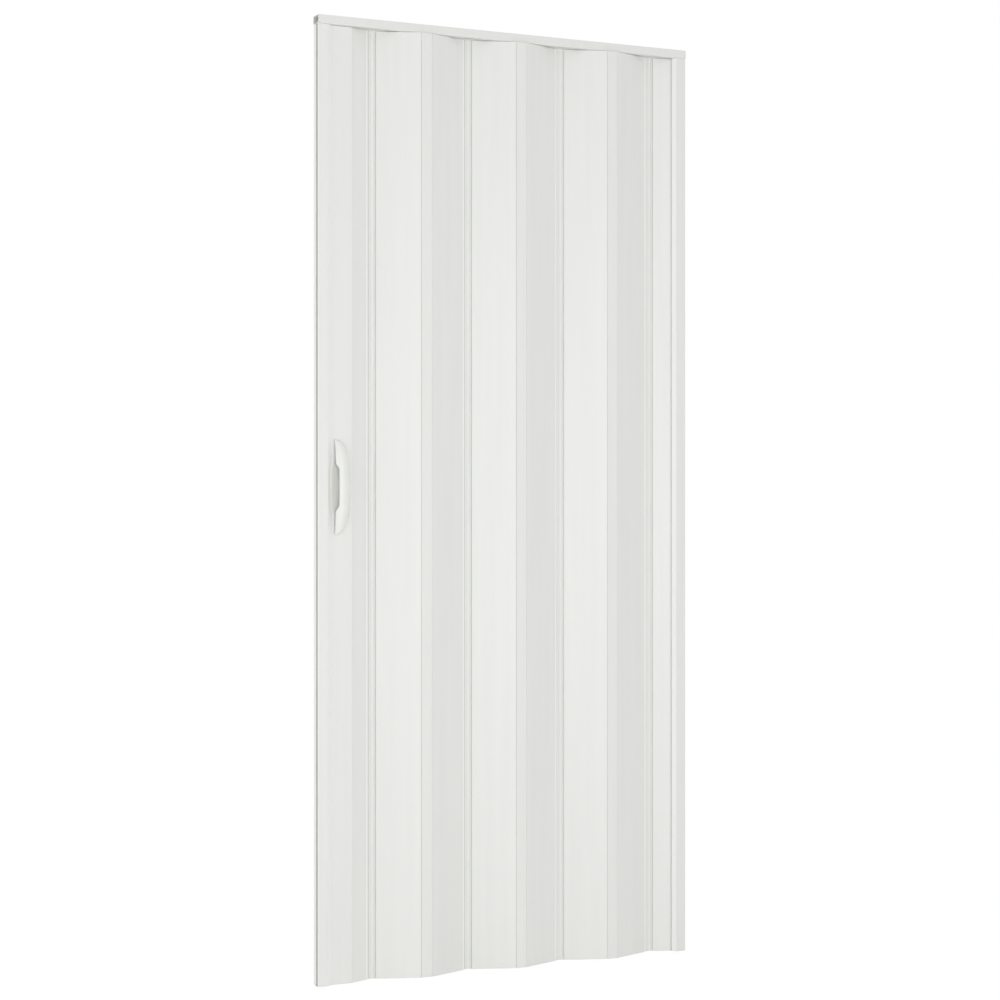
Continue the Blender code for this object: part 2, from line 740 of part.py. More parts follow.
def handle_mesh(name, right_edge, side):
    rings = []
    for turn in handle_turns():
        z = HANDLE_MIDDLE + HANDLE_LENGTH / 2 * full_oval(turn)[1]
        section = handle_section(turn, right_edge)
        rings.append([(LEAD_HINGE_SETBACK - d, side * y, z) for d, y in section])
    return lofted_mesh(name, rings)


def screw_places(y):
    side = LEAD_HINGE_SETBACK - SCREW_SIDE
    return [(side, y, HANDLE_MIDDLE + SCREW_SPACING / 2 * end) for end in (1, -1)]


def screw_holes(name, pivot, low, high, radius=SCREW_RADIUS + RUNNING_GAP):
    """Cylinders round both handle screws' axes, from low to high along Y."""
    turned = (math.radians(90), 0, 0)
    places = screw_places((low + high) / 2)
    return [cylinder(f"{name}_{i}", p, turned, radius, high - low, pivot) for i, p in enumerate(places, 1)]


def screw_mesh():
    """A handle screw along Y, its head on the back handle's floor and its point in the front one's boss."""
    head_under = -HALF_SLAT - HANDLE_FLOOR - 2 * RUNNING_GAP
    head_top = head_under - SCREW_HEAD_HEIGHT
    crown = SCREW_HEAD_HEIGHT / 3
    point = HALF_SLAT + HANDLE_FLOOR + BOSS_REACH - SCREW_POINT
    stations = [
        (head_top, SCREW_HEAD_RADIUS * 3 / 4),
        (head_top + crown, SCREW_HEAD_RADIUS),
        (head_under, SCREW_HEAD_RADIUS),
        (head_under, SCREW_RADIUS),
        (point - SCREW_POINT, SCREW_RADIUS),
        (point, SCREW_RADIUS / 2),
    ]
    turns = [math.tau * i / HOLE_POINTS for i in range(HOLE_POINTS)]
    rings = [[(r * math.cos(a), y, r * math.sin(a)) for a in turns] for y, r in stations]
    return lofted_mesh("handle_screw", rings)


def add_handles(pivot):
    """The front handle carries the bosses that the screws bite in, the back one the holes for them."""
    seat = HALF_SLAT + RUNNING_GAP
    floor = seat + HANDLE_FLOOR
    look = (HANDLE_WHITE, 0.32)
    front_mesh = handle_mesh("front_handle", HANDLE_RIGHT, 1)
    back_mesh = handle_mesh("back_handle", BACK_HANDLE_RIGHT, -1)
    front = add_object("front_handle", front_mesh, pivot, look)
    back = add_object("back_handle", back_mesh, pivot, look)
    boss_end = floor + BOSS_REACH
    bosses = screw_holes("boss", pivot, seat + HANDLE_FLOOR / 2, boss_end, BOSS_RADIUS)
    cut(front, bosses, "UNION")
    cut(front, screw_holes("boss_hole", pivot, HALF_SLAT / 2, boss_end - SCREW_POINT / 2))
    cut(back, screw_holes("back_hole", pivot, -floor - SCREW_HEAD_HEIGHT, -HALF_SLAT / 2))
    access = SCREW_HEAD_RADIUS + 2 * RUNNING_GAP
    cut(back, screw_holes("screw_access", pivot, -2 * HANDLE_RISE, -floor - RUNNING_GAP / 2, access))
    mesh = screw_mesh()
    for i, place in enumerate(screw_places(0), 1):
        add_object(f"handle_screw_{i}", mesh, pivot, (ZINC, 0.35, 1.0), place)


def add_gliders_on_stile(pivot):
    chamber = handle_slat_chambers()[HANDLE_SLAT_CHAMBERS // 2 - 1]
    mesh, place = glider_mesh("handle_slat_glider", chamber, SLAT_TOP)
    add_object("handle_slat_glider", mesh, pivot, (GLIDER_GREY, 0.5), place)
    groove = MAGNET_RECESS + MAGNET_THICKNESS + RUNNING_GAP + PROFILE_WALL
    slot_end = POST_WIDTH + POST_NOSE_REACH - POST_GRIP - PROFILE_WALL
    half_depth = HALF_DEPTH - PROFILE_WALL
    low, high = LEAD_HINGE_SETBACK - slot_end, LEAD_HINGE_SETBACK - groove
    chamber = [(low, -half_depth), (high, -half_depth), (high, half_depth), (low, half_depth)]
    mesh, place = glider_mesh("post_glider", chamber, POST_TOP)
    add_object("post_glider", mesh, pivot, (GLIDER_GREY, 0.5), place)


def add_chain():
    """Walks from the wall to the lead stile. Slats turn one way at a valley, the other way at a ridge."""
    pivot = add_pivot("wall_hinge", None, (HALF_WIDTH - WALL_HINGE_SETBACK, 0, 0), math.pi - FOLD)
    add_slat("wall_half_slat", pivot, SLAT_SPACING / 2, HALF_SLAT_CHAMBERS, -1)
    reach = SLAT_SPACING / 2
    glider_chamber = slat_chambers(SLAT_SPACING, SLAT_CHAMBERS)[SLAT_CHAMBERS // 2]
    plug, plug_place = glider_mesh("glider", glider_chamber, SLAT_TOP)
    for i in range(1, MODULES + 1):
        side = 1 if i % 2 else -1
        number = (i + 1) // 2
        name = f"valley_joint_{number}" if side > 0 else f"ridge_joint_{number}"
        pivot = add_pivot(f"{name}_hinge", pivot, (reach, 0, 0), side * FOLD)
        add_object(name, joint_mesh(name, side), pivot, (JOINT_WHITE, 0.42))
        if i < MODULES:
            pivot = add_pivot(f"slat_{i}_hinge", pivot, (JOINT_SPACING, 0, 0), side * FOLD)
            add_slat(f"slat_{i}", pivot, SLAT_SPACING, SLAT_CHAMBERS, side)
            add_object(f"glider_{i}", plug, pivot, (GLIDER_GREY, 0.5), plug_place)
            reach = SLAT_SPACING
    pivot = add_pivot("lead_half_slat_hinge", pivot, (JOINT_SPACING, 0, 0), FOLD)
    add_slat("lead_half_slat", pivot, SLAT_SPACING / 2, HALF_SLAT_CHAMBERS, 1)
    pivot = add_pivot("lead_stile_hinge", pivot, (SLAT_SPACING / 2, 0, 0), -FOLD)
    add_lead_stile(pivot)
    add_gliders_on_stile(pivot)


clear_scene()
add_head_rail()
add_wall_jamb()
add_chain()
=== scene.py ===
"""A white accordion door hanging closed in its rail, under soft light from the left and the front."""

import math

import bmesh
import bpy
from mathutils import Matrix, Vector


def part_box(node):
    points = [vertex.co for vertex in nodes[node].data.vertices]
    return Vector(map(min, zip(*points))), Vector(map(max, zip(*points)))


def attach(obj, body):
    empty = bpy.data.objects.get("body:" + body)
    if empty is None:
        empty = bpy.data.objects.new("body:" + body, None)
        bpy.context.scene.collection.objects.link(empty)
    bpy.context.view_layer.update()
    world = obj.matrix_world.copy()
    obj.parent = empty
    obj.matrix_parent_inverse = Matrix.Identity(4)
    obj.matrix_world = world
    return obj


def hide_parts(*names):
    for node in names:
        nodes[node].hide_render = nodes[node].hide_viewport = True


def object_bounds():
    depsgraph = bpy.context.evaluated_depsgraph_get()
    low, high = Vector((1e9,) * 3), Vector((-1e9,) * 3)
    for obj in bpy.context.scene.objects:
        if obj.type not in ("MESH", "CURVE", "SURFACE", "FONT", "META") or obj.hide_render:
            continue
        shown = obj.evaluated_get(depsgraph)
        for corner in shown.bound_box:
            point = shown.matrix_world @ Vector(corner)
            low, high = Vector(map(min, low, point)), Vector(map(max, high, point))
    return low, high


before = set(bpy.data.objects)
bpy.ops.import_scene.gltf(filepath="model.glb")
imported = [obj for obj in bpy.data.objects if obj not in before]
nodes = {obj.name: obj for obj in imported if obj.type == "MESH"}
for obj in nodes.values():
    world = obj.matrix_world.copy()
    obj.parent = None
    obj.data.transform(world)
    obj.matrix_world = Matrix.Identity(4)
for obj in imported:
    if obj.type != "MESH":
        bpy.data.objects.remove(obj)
cad_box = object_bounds()

# The camera stands left of the door, level, at half its height
EYE = Vector((-2.2215, -4.4641, -1.0086))
TURN_RIGHT = math.radians(26.30)
LENS_MM = 82.90
SENSOR_MM = 36
NEAREST_SEEN = 0.05

# The studio: lamps that all point at the door's middle, and a pale floor a little under the door
LAMP_SIZE = (1.8, 2.4)
LAMP_TARGET = (0, 0, -1.0)
LAMPS = (
    ("side_window", (-4.3, 0.5, -1.1), 37.5),
    ("left_window", (-3.7, -2.2, -1.1), 17),
    ("front_window", (-0.5, -4.2, -1.1), 45),
)
ROOM_LIGHT = 0.62
FLOOR_LEVEL = cad_box[0][2] - 0.008
FLOOR_HALF_SIDE = 9
FLOOR_WHITE = 1.08

# Tones of the plastics, some with painted light and painted shade as marked below, and where the jamb's
# flank and the lead post's slope are painted paler, as painted light
PLASTIC_GREY = 0.86
FRAME_GREY = PLASTIC_GREY - 0.012
POST_GREY = PLASTIC_GREY + 0.010
# Valley strips a little paler: painted light against the shade in their recess
VALLEY_PAINTED_LIGHT_GREY = PLASTIC_GREY + 0.035
# Rims paler than the slats: a painted highlight on their edges
RIM_HIGHLIGHT_GREY = 0.95
GLIDER_GREY = 0.62
PAINTED_LIGHT_TONE = (0.96, 0.965, 0.94)
# Seam tone: painted shade along the valley strips' left seams
SEAM_SHADE_TONE = (0.46, 0.47, 0.45)
JAMB_FLANK_WIDTH = 0.0058
JAMB_FADE = 0.0004
POST_FRONT_WIDTH = 0.0222
POST_FADE = 0.0008

# Where a Mix node for colours has its sockets
MIX_FACTOR, MIX_A, MIX_B, MIX_RESULT = 0, 6, 7, 2

# The front pull. Distances across run from the door's closing edge to the right,
# distances out from the slats' middle plane, and half lengths from the pull's own middle
CLOSING_EDGE = cad_box[0][0]
PULL_MIDDLE = -0.982
PULL_HALF_LENGTH = 0.100
PULL_TIP = 0.0385
PULL_RIGHT = 0.0746
PULL_RISE = 0.0178
PULL_FULLNESS = 2.2
OUTLINE_FULLNESS = 2.6
PULL_WALL = 0.0022
PULL_FLOOR = 0.0012
PULL_SEAT = 0.0043
PULL_OVERLAP = 0.0003
PULL_TIP_TURN = math.radians(83)
SCOOP_LEFT = 0.0280
SCOOP_HALF_LENGTH = 0.075
SCOOP_FALL = 0.0145
WELL_MIDDLE = 0.045
WELL_HALF_WIDTH = 0.014
WELL_HALF_LENGTH = 0.055
WELL_DEPTH = 0.0030
WELL_SMALLEST_PART = 10
FINGER_HALF_LENGTH = 0.045
FINGER_EASE = 0.006
FREE_EDGE_OPEN = math.radians(122)
FREE_EDGE_CLOSED = math.radians(154)
THIN_SHARE = 0.33
THIN_FLOOR_SHARE = 0.22
SHARP_ANGLE = math.radians(40)

# The lead post's slope beside the pull
POST_SLOPE_END = 0.0315
POST_SLOPE_WIDTH = 0.0095
POST_SLOPE_LOW = 0.0046
POST_SLOPE_RISE = 0.0084

# How finely the pull's curves are cut
PULL_STEPS = 48
ARCH_STEPS = 24
FLOOR_STEPS = 24
WELL_STEPS = 12
LIP_STEPS = 6

# Fine parts of the other profiles
RIMMED_SLATS = ("lead_half_slat", "slat_5", "slat_3", "slat_1")
RIM_WIDTH = 0.0032
RIM_HEIGHT = 0.0011
RIM_CREST = 0.0002
RIM_END = 0.0001
# A dark strip by the jamb: painted shadow in the gap beside the wall half slat
SHADOW_STRIP_WIDTH = 0.0014
SHADOW_STRIP_REACH = 0.0005
SHADOW_STRIP_THICKNESS = 0.0005
SHOULDER_SIZE = 0.001
SEAM_WIDENING = 0.0008
# Marks where painted shade lies along the valley seams
SEAM_SHADE_MARK = "in_painted_seam_shade"
VALLEY_SEAM_START = 0.003
VALLEY_SEAM_END = 0.0074
VALLEY_SEAM_FADE = 0.0002
VALLEY_SEAM_DEPTH = 0.0042
RAIL_CLEARANCE = 0.0005
STRIP_RISE = 0.0018
SAME_POINT = 0.00002
HAIR = 0.0001


def aim(obj, place, at):
    obj.location = place
    obj.rotation_euler = (Vector(at) - Vector(place)).to_track_quat("-Z", "Y").to_euler()


def set_up_camera():
    data = bpy.data.cameras.new("photo_camera")
    data.lens = LENS_MM
    data.sensor_width = SENSOR_MM
    data.clip_start = NEAREST_SEEN
    camera = bpy.data.objects.new("photo_camera", data)
    bpy.context.scene.collection.objects.link(camera)
    aim(camera, EYE, EYE + Vector((math.sin(TURN_RIGHT), math.cos(TURN_RIGHT), 0)))
    bpy.context.scene.camera = camera


def new_material(name):
    made = bpy.data.materials.new(name)
    made.use_nodes = True
    tree = made.node_tree
    return made, tree, tree.nodes["Principled BSDF"]


def node(tree, kind, **values):
    made = tree.nodes.new(kind)
    for key, value in values.items():
        setattr(made, key, value)
    return made


def streaks(tree, stretch, scale, detail):
    """Noise on the piece's own place, drawn out along Z where its stretch there is small."""
    place = node(tree, "ShaderNodeTexCoord")
    mapping = node(tree, "ShaderNodeMapping")
    mapping.inputs["Scale"].default_value = stretch
    noise = node(tree, "ShaderNodeTexNoise")
    noise.inputs["Scale"].default_value = scale
    noise.inputs["Detail"].default_value = detail
    tree.links.new(place.outputs["Object"], mapping.inputs["Vector"])
    tree.links.new(mapping.outputs["Vector"], noise.inputs["Vector"])
    return noise.outputs["Fac"]


def colour_from(tree, shader, share, low, high):
    """Colours the shader from low to high as this share rises."""
    ramp = node(tree, "ShaderNodeValToRGB")
    ramp.color_ramp.elements[0].position = 0.3
    ramp.color_ramp.elements[0].color = (*low, 1)
    ramp.color_ramp.elements[1].position = 0.7
    ramp.color_ramp.elements[1].color = (*high, 1)
    tree.links.new(share, ramp.inputs["Fac"])
    tree.links.new(ramp.outputs["Color"], shader.inputs["Base Color"])


def roughness_from(tree, shader, share, low, high):
    """Makes the shader rougher from low to high as this share rises."""
    span = node(tree, "ShaderNodeMapRange")
    span.inputs["To Min"].default_value = low
    span.inputs["To Max"].default_value = high
    tree.links.new(share, span.inputs["Value"])
    tree.links.new(span.outputs["Result"], shader.inputs["Roughness"])


def bump(tree, shader, height, strength, distance):
    made = node(tree, "ShaderNodeBump")
    made.inputs["Strength"].default_value = strength
    made.inputs["Distance"].default_value = distance
    tree.links.new(height, made.inputs["Height"])
    tree.links.new(made.outputs["Normal"], shader.inputs["Normal"])


def warm_white(tone, warmth):
    return [tone - warmth / 4, tone, tone - warmth]


def extruded_plastic(name, tone, warmth, roughness):
    """Satin white plastic with the faint lengthwise drawing lines of an extruded profile."""
    made, tree, shader = new_material(name)
    colour = warm_white(tone, warmth)
    darker = [value * 0.975 for value in colour]
    wide = streaks(tree, stretch=(1, 1, 0.04), scale=60, detail=4)
    colour_from(tree, shader, wide, darker, colour)
    fine = streaks(tree, stretch=(1, 1, 0.012), scale=900, detail=2)
    roughness_from(tree, shader, fine, roughness - 0.05, roughness + 0.06)
    bump(tree, shader, fine, strength=0.12, distance=0.0002)
    shader.inputs["IOR"].default_value = 1.53
    return made


def moulded_plastic(name, tone, warmth, roughness):
    """White plastic from a fine-grained mould."""
    made, tree, shader = new_material(name)
    colour = warm_white(tone, warmth)
    darker = [value * 0.98 for value in colour]
    cloud = streaks(tree, stretch=(1, 1, 1), scale=40, detail=3)
    colour_from(tree, shader, cloud, darker, colour)
    grain = streaks(tree, stretch=(1, 1, 1), scale=2600, detail=2)
    roughness_from(tree, shader, grain, roughness - 0.04, roughness + 0.05)
    bump(tree, shader, grain, strength=0.06, distance=0.0001)
    shader.inputs["IOR"].default_value = 1.5
    shader.inputs["Subsurface Weight"].default_value = 0.12
    shader.inputs["Subsurface Radius"].default_value = (1, 1, 1)
    shader.inputs["Subsurface Scale"].default_value = 0.004
    return made


def rubber(name, dark, light):
    made, tree, shader = new_material(name)
    cloud = streaks(tree, stretch=(1, 1, 0.2), scale=300, detail=4)
    colour_from(tree, shader, cloud, [dark] * 3, [light] * 3)
    roughness_from(tree, shader, cloud, 0.6, 0.8)
    bump(tree, shader, cloud, strength=0.2, distance=0.0002)
    return made


def zinc_plate():
    made, tree, shader = new_material("zinc_plate")
    cloud = streaks(tree, stretch=(1, 1, 1), scale=700, detail=4)
    colour_from(tree, shader, cloud, (0.50, 0.51, 0.53), (0.66, 0.66, 0.67))
    roughness_from(tree, shader, cloud, 0.25, 0.45)
    shader.inputs["Metallic"].default_value = 1.0
    return made


def mix_in(made, share, tone):
    """Lets this tone take the place of a plastic's own colour by this share."""
    tree = made.node_tree
    shader = tree.nodes["Principled BSDF"]
    own_colour = shader.inputs["Base Color"].links[0].from_socket
    mixed = node(tree, "ShaderNodeMix", data_type="RGBA")
    mixed.inputs[MIX_B].default_value = (*tone, 1)
    tree.links.new(share, mixed.inputs[MIX_FACTOR])
    tree.links.new(own_colour, mixed.inputs[MIX_A])
    tree.links.new(mixed.outputs[MIX_RESULT], shader.inputs["Base Color"])


def paint_light_along_x(made, edge, full):
    """Paints light onto a plastic between two places along X: its own colour at edge, the palest
    painted light at full.
    """
    tree = made.node_tree
    place = node(tree, "ShaderNodeTexCoord")
    parts = node(tree, "ShaderNodeSeparateXYZ")
    tree.links.new(place.outputs["Object"], parts.inputs["Vector"])
    span = node(tree, "ShaderNodeMapRange")
    span.inputs["From Min"].default_value = edge
    span.inputs["From Max"].default_value = full
    tree.links.new(parts.outputs["X"], span.inputs["Value"])
    mix_in(made, span.outputs["Result"], PAINTED_LIGHT_TONE)


def paint_seam_shade(made):
    """Paints shade onto a plastic where its piece is marked as lying in a seam, a painted shadow in the
    seam's gap.
    """
    seam = node(made.node_tree, "ShaderNodeAttribute", attribute_name=SEAM_SHADE_MARK)
    mix_in(made, seam.outputs["Fac"], SEAM_SHADE_TONE)


def nodes_from(start):
    return [name for name in nodes if name.startswith(start)]


def dress(names, look):
    for name in names:
        data = nodes[name].data
        data.materials.clear()
        data.materials.append(look)


def dress_frame():
    rail_look = extruded_plastic("rail_plastic", FRAME_GREY, warmth=0.030, roughness=0.40)
    dress(["head_rail"], rail_look)
    jamb_look = extruded_plastic("jamb_plastic_with_painted_light", FRAME_GREY, warmth=0.030, roughness=0.40)
    # The jamb's left flank is painted paler: painted light where the lamps leave it darker
    flank_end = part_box("wall_jamb")[0][0] + JAMB_FLANK_WIDTH
    paint_light_along_x(jamb_look, edge=flank_end + JAMB_FADE, full=flank_end)
    dress(["wall_jamb"], jamb_look)


def dress_lead_post():
    look = extruded_plastic("post_plastic_with_painted_light", POST_GREY, warmth=0.028, roughness=0.40)
    # From its slope on, the post is painted paler: painted light where the lamps leave the slope darker
    slope_start = CLOSING_EDGE + POST_FRONT_WIDTH
    paint_light_along_x(look, edge=slope_start, full=slope_start + POST_FADE)
    dress(["lead_post"], look)


def dress_door():
    slat_look = extruded_plastic("slat_plastic", PLASTIC_GREY, warmth=0.030, roughness=0.42)
    dress([name for name in nodes if "slat" in name and "glider" not in name], slat_look)
    joint_look = extruded_plastic("joint_plastic", PLASTIC_GREY, warmth=0.032, roughness=0.45)
    dress(nodes_from("ridge_joint"), joint_look)
    # The valley strips are painted paler, as painted light against their recess's shade, with painted
    # shade along their seams
    valley_look = extruded_plastic("valley_plastic_with_painted_light_and_shade", VALLEY_PAINTED_LIGHT_GREY, warmth=0.032, roughness=0.45)
    paint_seam_shade(valley_look)
    dress(nodes_from("valley_joint"), valley_look)
    dress_frame()
    dress_lead_post()
    glider_look = moulded_plastic("glider_plastic", GLIDER_GREY, warmth=0.02, roughness=0.45)
    dress([name for name in nodes if "glider" in name], glider_look)
    dress(["magnet_strip"], rubber("magnet_rubber", dark=0.40, light=0.50))
    dress([name for name in nodes if "screw" in name], zinc_plate())
    pull_look = moulded_plastic("pull_plastic", PLASTIC_GREY, warmth=0.040, roughness=0.36)
    dress(["front_handle", "back_handle"], pull_look)
    make_pull(pull_look)
    add_rims(extruded_plastic("rim_plastic_painted_highlight", RIM_HIGHLIGHT_GREY, warmth=0.028, roughness=0.42))
    add_jamb_shadow_strip(rubber("painted_shadow_strip", dark=0.05, light=0.08))
    open_seams(joint_look)
    mark_valley_seam_shade(valley_look)


def held(share):
    """This share, kept between nothing and all."""
    return min(1, max(0, share))


def oval(away, half_length):
    return math.sqrt(max(0, 1 - (away / half_length) ** 2))


def eased(share):
    share = held(share)
    return share * share * (3 - 2 * share)


def full_arch(turn, half_width, rise, fullness):
    """A point on an arch at this turn from its foot. A fullness above 2 rounds its shoulders out."""
    power = 2 / fullness
    across = math.copysign(abs(math.cos(turn)) ** power, math.cos(turn))
    return half_width * across, rise * abs(math.sin(turn)) ** power


def post_slope(across):
    """How far the lead post's slope stands out, this far from the closing edge."""
    share = held((POST_SLOPE_END - across) / POST_SLOPE_WIDTH)
    return POST_SLOPE_LOW + POST_SLOPE_RISE * share


def dished_floor(left, right, well, rim, floor):
    """The floor under the fingers: down from the rim, through a shallow dish, level to the right."""
    points = []
    for i in range(FLOOR_STEPS + 1):
        across = left + (right - left) * i / FLOOR_STEPS
        fallen = eased((across - left) / SCOOP_FALL)
        in_well = held((across - WELL_MIDDLE + WELL_HALF_WIDTH) / (2 * WELL_HALF_WIDTH))
        dish = WELL_DEPTH * well * (1 - math.cos(math.tau * in_well)) / 2
        points.append((across, rim + (floor - rim) * fallen - dish))
    return points


def pull_underside(left, right, well):
    """The floor's underside from left to right, sunk in the slat's opening."""
    middle = min(WELL_MIDDLE, (left + right) / 2)
    half = max(WELL_HALF_WIDTH * well, (right - left) / WELL_SMALLEST_PART)
    points = []
    for i in range(WELL_STEPS + 1):
        share = i / WELL_STEPS
        sunk = WELL_DEPTH * well * math.sqrt(math.sin(math.pi * share))
        points.append((middle + half * (2 * share - 1), PULL_SEAT - sunk))
    return points


def round_lip(outer, inner, before):
    """Points of a half round that joins the arch's outside to its inside at the free edge."""
    middle = Vector(outer).lerp(Vector(inner), 0.5)
    radius = (Vector(outer) - Vector(inner)).length / 2
    across = (Vector(outer) - middle).normalized()
    ahead = Vector((-across.y, across.x))
    if ahead.dot(Vector(outer) - Vector(before)) < 0:
        ahead.negate()
    turns = [math.pi * i / LIP_STEPS for i in range(1, LIP_STEPS)]
    return [tuple(middle + radius * (across * math.cos(a) + ahead * math.sin(a))) for a in turns]


def pull_section(narrowing, away):
    """The pull's cross-section this far from its middle, as (across, out) points.

    They run along the floor's underside, over the arch to its lip, back inside it and over the floor.
    """
    right = PULL_TIP + (PULL_RIGHT - PULL_TIP) * narrowing
    left = PULL_TIP - (PULL_TIP - SCOOP_LEFT) * oval(away, SCOOP_HALF_LENGTH)
    foot = PULL_TIP - PULL_OVERLAP
    centre = (foot + right) / 2
    half = (right - foot) / 2
    rise = PULL_RISE * narrowing
    wall = min(PULL_WALL, half * THIN_SHARE)
    floor = PULL_SEAT + min(PULL_FLOOR, rise * THIN_FLOOR_SHARE)
    well = oval(away, WELL_HALF_LENGTH)
    opening = 1 - eased((away - FINGER_HALF_LENGTH + FINGER_EASE / 2) / FINGER_EASE)
    end = FREE_EDGE_CLOSED + (FREE_EDGE_OPEN - FREE_EDGE_CLOSED) * opening
    turns = [end * (i / ARCH_STEPS) for i in range(1, ARCH_STEPS + 1)]
    outside = [full_arch(a, half, rise, PULL_FULLNESS) for a in turns]
    inside = [full_arch(a, half - wall, rise - wall, PULL_FULLNESS) for a in turns]
    lip = round_lip(outside[-1], inside[-1], outside[-2])
    arch = [(centre + x, PULL_SEAT + y) for x, y in outside + lip + inside[:0:-1]]
    under = [(left, PULL_SEAT), *pull_underside(left, right, well), (right, PULL_SEAT)]
    rim = max(floor, post_slope(left) - PULL_OVERLAP)
    over = dished_floor(left, right - wall, well, rim, floor)
    return under + arch + over[::-1]


def keep_in_order(bm):
    """Sorts edges and faces by their corners, because extruding leaves them in no fixed order."""
    bm.verts.index_update()
    count = len(bm.verts)

    def place(part):
        corners = sorted(vert.index for vert in part.verts)
        return sum(corner * count**digit for digit, corner in enumerate(corners))

    bm.edges.sort(key=place)
    bm.faces.sort(key=place)


def loft(bm, rings):
    """A skin through the rings, each extruded from the one before, and both ends filled."""
    verts = [bm.verts.new(point) for point in rings[0]]
    edges = [bm.edges.new((verts[i - 1], verts[i])) for i in range(len(verts))]
    bmesh.ops.triangle_fill(bm, use_beauty=True, edges=edges)
    for ring in rings[1:]:
        made = bmesh.ops.extrude_edge_only(bm, edges=edges)["geom"]
        fresh = {part for part in made if isinstance(part, bmesh.types.BMVert)}
        verts = [next(e.other_vert(v) for e in v.link_edges if e.other_vert(v) in fresh) for v in verts]
        for vert, point in zip(verts, ring):
            vert.co = point
        made_edges = [part for part in made if isinstance(part, bmesh.types.BMEdge)]
        edges = [edge for edge in made_edges if all(v in fresh for v in edge.verts)]
    bmesh.ops.triangle_fill(bm, use_beauty=True, edges=edges)
    bmesh.ops.recalc_face_normals(bm, faces=bm.faces)
    keep_in_order(bm)


def add_piece(name, bm, look):
    mesh = bpy.data.meshes.new(name)
    bm.to_mesh(mesh)
    bm.free()
    mesh.materials.append(look)
    piece = bpy.data.objects.new(name, mesh)
    bpy.context.scene.collection.objects.link(piece)
    return piece


def make_pull(look):
    """The front handle with a finer skin: a thin arch with a round free edge over a dished floor."""
    rings = []
    for i in range(PULL_STEPS + 1):
        turn = PULL_TIP_TURN * (2 * i / PULL_STEPS - 1)
        narrowing, away = full_arch(turn, 1, PULL_HALF_LENGTH, OUTLINE_FULLNESS)
        z = PULL_MIDDLE + math.copysign(away, turn)
        section = pull_section(narrowing, away)
        rings.append([(CLOSING_EDGE + across, -out, z) for across, out in section])
    bm = bmesh.new()
    loft(bm, rings)
    pull = add_piece("front_pull", bm, look)
    pull.data.shade_smooth()
    pull.data.set_sharp_from_angle(angle=SHARP_ANGLE)
    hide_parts("front_handle")
    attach(pull, "lead_stile")


def add_rims(look):
    """A low rim along the edge of each slat that runs into a valley from the left, in a paler plastic
    that is a painted highlight.
    """
    for name in RIMMED_SLATS:
        points = [v.co.copy() for v in nodes[name].data.vertices]
        corner = max(points, key=lambda p: p.x - p.y)
        front = min(points, key=lambda p: p.y)
        along = Vector((corner.x - front.x, corner.y - front.y, 0)).normalized()
        out = Vector((along.y, -along.x, 0))
        low, high = min(p.z for p in points), max(p.z for p in points)
        edge = Vector((corner.x, corner.y, low))
        crest = edge - along * RIM_CREST + out * RIM_HEIGHT
        section = [edge - along * RIM_WIDTH, crest, edge - along * RIM_END]
        bm = bmesh.new()
        face = bm.faces.new([bm.verts.new(p) for p in section])
        made = bmesh.ops.extrude_face_region(bm, geom=[face])["geom"]
        raised = [part for part in made if isinstance(part, bmesh.types.BMVert)]
        bmesh.ops.translate(bm, verts=raised, vec=(0, 0, high - low))
        bmesh.ops.recalc_face_normals(bm, faces=bm.faces)
        rim = add_piece(f"{name}_rim", bm, look)
        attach(rim, name)


def add_jamb_shadow_strip(look):
    """A near-black strip under the jamb's front finger, which the wall half slat rests beside: a
    painted shadow in the gap there.
    """
    tip = min((v.co for v in nodes["wall_jamb"].data.vertices), key=lambda p: p.x)
    low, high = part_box("wall_jamb")
    bm = bmesh.new()
    bmesh.ops.create_cube(bm, size=1)
    bmesh.ops.scale(bm, verts=bm.verts, vec=(SHADOW_STRIP_WIDTH, SHADOW_STRIP_THICKNESS, high[2] - low[2]))
    middle_x = tip.x - SHADOW_STRIP_REACH + SHADOW_STRIP_WIDTH / 2
    middle = (middle_x, tip.y + SHADOW_STRIP_THICKNESS / 2, (low[2] + high[2]) / 2)
    bmesh.ops.translate(bm, verts=bm.verts, vec=middle)
    lip = add_piece("jamb_shadow_strip", bm, look)
    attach(lip, "frame")


def strip_copy(name):
    """A joint strip's own skin, merged, with its left and front ends."""
    bm = bmesh.new()
    bm.from_mesh(nodes[name].data)
    bmesh.ops.remove_doubles(bm, verts=bm.verts, dist=SAME_POINT)
    return bm, min(v.co.x for v in bm.verts), min(v.co.y for v in bm.verts)


def put_strip(name, bm, look):
    strip = add_piece(f"{name}_strip", bm, look)
    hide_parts(name)
    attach(strip, name)


def open_seams(look):
    """Ridge strips whose left shoulder is moved right a little, so that the seam shows dark."""
    for name in nodes_from("ridge_joint"):
        bm, left, front = strip_copy(name)
        right, back = left + SHOULDER_SIZE, front + SHOULDER_SIZE
        shoulder = [v for v in bm.verts if v.co.x < right and v.co.y < back]
        bmesh.ops.translate(bm, verts=shoulder, vec=(SEAM_WIDENING, 0, 0))
        put_strip(name, bm, look)


